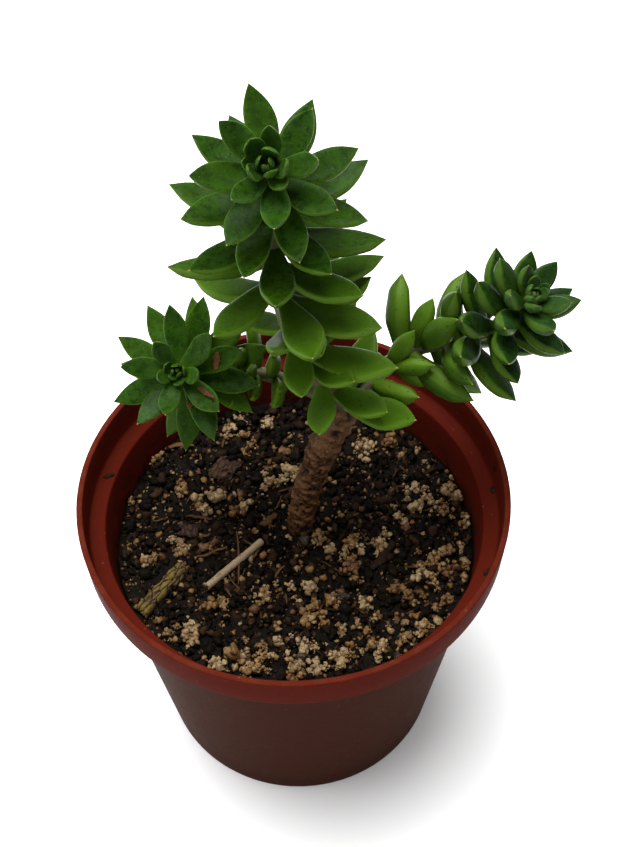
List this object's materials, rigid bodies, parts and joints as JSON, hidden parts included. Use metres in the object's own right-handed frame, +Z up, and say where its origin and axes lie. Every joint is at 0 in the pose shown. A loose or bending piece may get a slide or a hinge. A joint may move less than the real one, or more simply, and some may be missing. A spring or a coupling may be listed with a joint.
{
  "type": "potted sedum",
  "caption": "Sedum with three leafy shoots on a bare brown trunk, the shoots ending in rosettes, in a round tapered nursery pot filled with gritty soil.",
  "frame": {"origin": "centre of the pot's flat underside, where it stands on the table", "axes": "+Z up along the pot's axis, -Y towards the picture's viewer, +X to their right"},
  "size_m": [0.1329, 0.12, 0.2221],
  "materials": {
    "pot_plastic": "satin",
    "soil_mix": "rough",
    "bark": "rough",
    "leaf_green": "waxy",
    "leaf_blue_green": "waxy",
    "bark_yellow": "rough",
    "bark_red": "rough",
    "straw": "rough"
  },
  "bodies": {
    "root": {"pot": "pot_plastic", "soil": "soil_mix", "trunk": "bark", "main_shoot": "leaf_green", "left_shoot": "leaf_green", "right_shoot": "leaf_blue_green", "bark_chip": "bark_yellow", "bark_flake": "bark_red", "brown_chip": "bark_red", "twig": "straw"}
  },
  "joints": []
}
